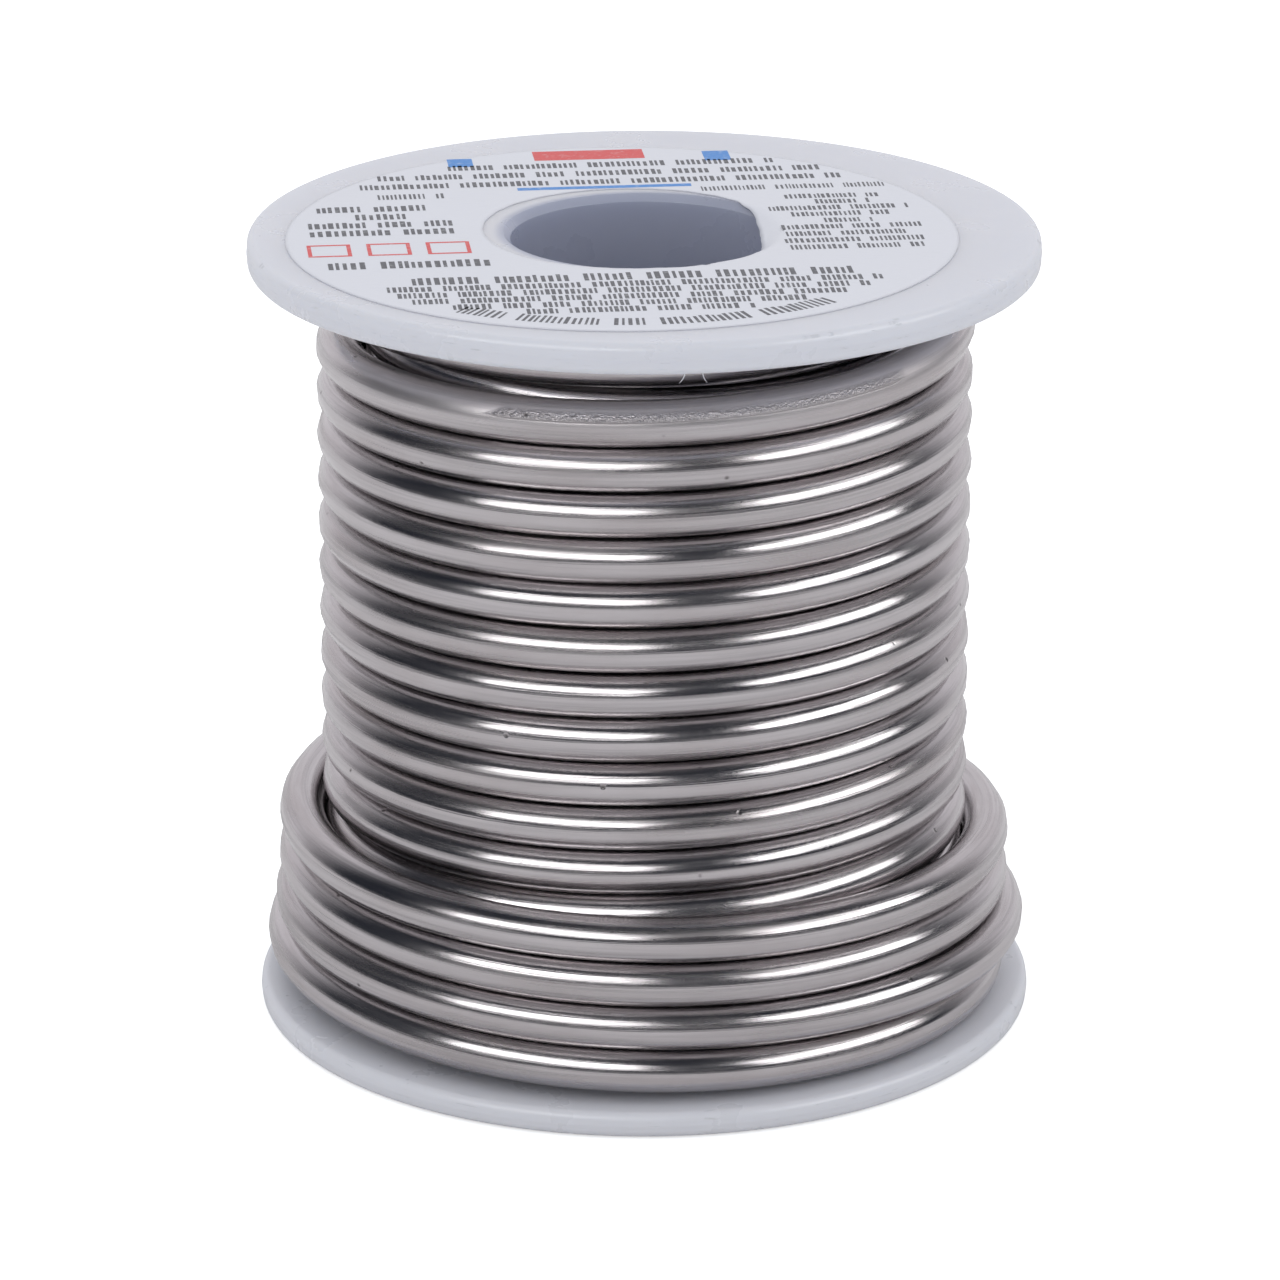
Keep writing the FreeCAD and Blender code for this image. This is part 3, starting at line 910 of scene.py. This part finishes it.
WHITE = (1.0, 1.0, 1.0, 1.0)
SKY = (0.94, 0.97, 1.0, 1.0)
DARK_ROOM, PALE_ROOM = (0.012, 0.015, 0.024), (0.80, 0.78, 0.81)
FLOOR_TONE, MIRRORED_FLOOR = (0.86, 0.86, 0.86), (0.80, 0.77, 0.765)
FLOOR_GLOW = 0.55
# name, azimuth and elevation in degrees, then width, height and distance in metres
SOFT_BOXES = (("soft_box_left", -31, 31, 0.60, 0.21, 0.6), ("soft_box_right", 69, 31, 0.62, 0.21, 0.6))
OVERHEAD = ("overhead", 180, 80, 0.8, 0.8, 0.8)


def aim(thing, distance, azimuth, elevation, lift=0.0):
    """Puts a camera or a light at a distance from the middle of the spool, and turns it there."""
    middle = Vector((0.0, 0.0, SPOOL_HIGH.z / 2 + lift))
    thing.location = middle + polar(distance * math.cos(elevation), azimuth, distance * math.sin(elevation))
    thing.rotation_euler = (middle - thing.location).to_track_quat("-Z", "Y").to_euler()


def soft_light(name, azimuth, elevation, width, height, distance, power, glossy):
    """A rectangular light that either shows in reflections or only gives plain light."""
    data = bpy.data.lights.new(name, "AREA")
    data.shape = "RECTANGLE"
    data.size, data.size_y = width, height
    data.energy = power
    light = add_object(name, data)
    aim(light, distance, math.radians(azimuth), math.radians(elevation))
    light.visible_camera = False
    light.visible_diffuse = not glossy
    light.visible_glossy = glossy


def background(tree, tone, strength=1.0):
    """A plain background."""
    return add_node(tree, "ShaderNodeBackground", (("Color", tone), ("Strength", strength))).outputs[0]


def make_surroundings(ambient):
    """A white studio. Seen in reflections, the room is pale behind the spool and dark in front of it."""
    world = bpy.data.worlds.new("studio")
    bpy.context.scene.world = world
    world.use_nodes = True
    tree = world.node_tree
    tree.nodes.clear()
    towards = add_node(tree, "ShaderNodeTexCoord").outputs["Generated"]
    backwards = add_node(tree, "ShaderNodeSeparateXYZ", ((0, towards),)).outputs[1]
    room = background(tree, blend(tree, ramp(tree, backwards, 0.25, 0.85), DARK_ROOM, PALE_ROOM))
    path = add_node(tree, "ShaderNodeLightPath").outputs
    lit = mix_shaders(tree, path["Is Glossy Ray"], background(tree, SKY, ambient), room)
    seen = mix_shaders(tree, path["Is Camera Ray"], lit, background(tree, WHITE))
    add_node(tree, "ShaderNodeOutputWorld", (("Surface", seen),))


def make_floor():
    """A plain pale floor that glows a little, so that it is almost white where nothing shades it."""
    bm = bmesh.new()
    bmesh.ops.create_grid(bm, x_segments=1, y_segments=1, size=2.0)
    floor = add_object("floor", mesh_from(bm, "floor", smooth=False))
    shading = Shading("pale_floor")
    tree = shading.tree
    path = add_node(tree, "ShaderNodeLightPath").outputs
    tone = blend(tree, path["Is Glossy Ray"], FLOOR_TONE, MIRRORED_FLOOR)
    shading.set(Roughness=0.9, Specular_IOR_Level=0.1, Base_Color=tone)
    dark = add_node(tree, "ShaderNodeEmission", (("Strength", 0.0),)).outputs[0]
    glow = add_node(tree, "ShaderNodeEmission", (("Color", WHITE), ("Strength", FLOOR_GLOW))).outputs[0]
    glow = mix_shaders(tree, path["Is Camera Ray"], dark, glow)
    both = add_node(tree, "ShaderNodeAddShader", ((0, shading.shader.outputs[0]), (1, glow))).outputs[0]
    fill(tree, tree.nodes["Material Output"], (("Surface", both),))
    floor.data.materials.append(shading.material)


def make_camera(studio):
    """The camera, aimed close to the middle of the spool."""
    data = bpy.data.cameras.new("camera")
    data.lens, data.sensor_width = studio.lens, 36.0
    data.shift_x, data.shift_y = studio.shift_x, studio.shift_y
    data.clip_start, data.clip_end = 0.01, 20.0
    camera = add_object("camera", data)
    aim(camera, studio.distance, 0.0, studio.elevation, lift=0.05 * MM)
    bpy.context.scene.camera = camera


# ---------------------------------------------------------------- operators

class SPOOL_OT_stage(bpy.types.Operator):
    """Sets up the camera, the lights, the white surroundings and the floor"""

    bl_idname = "solder_spool.stage"
    bl_label = "Build Stage"

    def execute(self, context):
        studio = context.scene.spool_studio
        make_camera(studio)
        make_surroundings(studio.ambient)
        make_floor()
        for box in SOFT_BOXES:
            soft_light(*box, power=studio.box_power, glossy=True)
        soft_light(*OVERHEAD, power=studio.overhead_power, glossy=False)
        context.scene.view_settings.view_transform = "Standard"
        return {"FINISHED"}


class SPOOL_OT_moulding(bpy.types.Operator):
    """Builds the moulded spool with its rims, bore and flash"""

    bl_idname = "solder_spool.moulding"
    bl_label = "Build Moulded Spool"

    def execute(self, context):
        sizes = context.scene.spool_moulding
        plastic = plastic_material(sizes.tint)
        make_moulding(sizes, plastic)
        make_whiskers(sizes, plastic)
        return {"FINISHED"}


class SPOOL_OT_labels(bpy.types.Operator):
    """Builds both paper labels and their print"""

    bl_idname = "solder_spool.labels"
    bl_label = "Build Labels"

    def execute(self, context):
        sizes = context.scene.spool_labels
        paper = paper_material(sizes.tint)
        hole = (BORE["dims"]["r_mm"] + 1.0) * MM
        make_paper("upper_label_paper", "upper_label", UP, UPPER_HOLE_CENTRE, hole, TEARS, sizes, paper)
        make_paper("lower_label_paper", "lower_label", DOWN, (0.0, 0.0), hole, (), sizes, paper)
        make_upper_print(sizes)
        make_lower_print(sizes)
        return {"FINISHED"}


class SPOOL_OT_wire(bpy.types.Operator):
    """Winds the solder wire on the hub, layer by layer"""

    bl_idname = "solder_spool.wire"
    bl_label = "Wind Wire"

    def execute(self, context):
        sizes = context.scene.spool_winding
        winding = Winding(sizes)
        alloy = solder_material(sizes.tint)
        for number in range(Winding.LAYERS):
            make_layer(winding, number, alloy)
        return {"FINISHED"}


class SPOOL_OT_flux(bpy.types.Operator):
    """Gives the flux core inside the wire its rosin finish"""

    bl_idname = "solder_spool.flux"
    bl_label = "Finish Flux Core"

    def execute(self, context):
        rosin = rosin_material(context.scene.spool_winding.flux)
        for name, node in frame["nodes"].items():
            if name.startswith("flux_core"):
                node.data.materials.clear()
                node.data.materials.append(rosin)
        return {"FINISHED"}


class SPOOL_PT_panel(bpy.types.Panel):
    """Lists the steps that build the spool"""

    bl_idname = "SPOOL_PT_panel"
    bl_label = "Solder Spool"
    bl_space_type = "VIEW_3D"
    bl_region_type = "UI"
    bl_category = "Solder Spool"

    def draw(self, context):
        for operator in OPERATORS:
            self.layout.operator(operator.bl_idname)


OPERATORS = (SPOOL_OT_stage, SPOOL_OT_moulding, SPOOL_OT_labels, SPOOL_OT_wire, SPOOL_OT_flux)
SETTINGS = {
    "spool_moulding": MouldingSettings,
    "spool_winding": WindingSettings,
    "spool_labels": LabelSettings,
    "spool_studio": StudioSettings,
}


def register():
    """Registers the settings, the operators and the panel."""
    for name, group in SETTINGS.items():
        bpy.utils.register_class(group)
        setattr(bpy.types.Scene, name, bpy.props.PointerProperty(type=group))
    for operator in OPERATORS:
        bpy.utils.register_class(operator)
    bpy.utils.register_class(SPOOL_PT_panel)


def unregister():
    """Takes them away again."""
    bpy.utils.unregister_class(SPOOL_PT_panel)
    for operator in reversed(OPERATORS):
        bpy.utils.unregister_class(operator)
    for name, group in reversed(SETTINGS.items()):
        delattr(bpy.types.Scene, name)
        bpy.utils.unregister_class(group)


def main():
    """Builds everything."""
    register()
    bpy.ops.solder_spool.stage()
    bpy.ops.solder_spool.moulding()
    bpy.ops.solder_spool.labels()
    bpy.ops.solder_spool.wire()
    bpy.ops.solder_spool.flux()


if __name__ == "__main__":
    main()
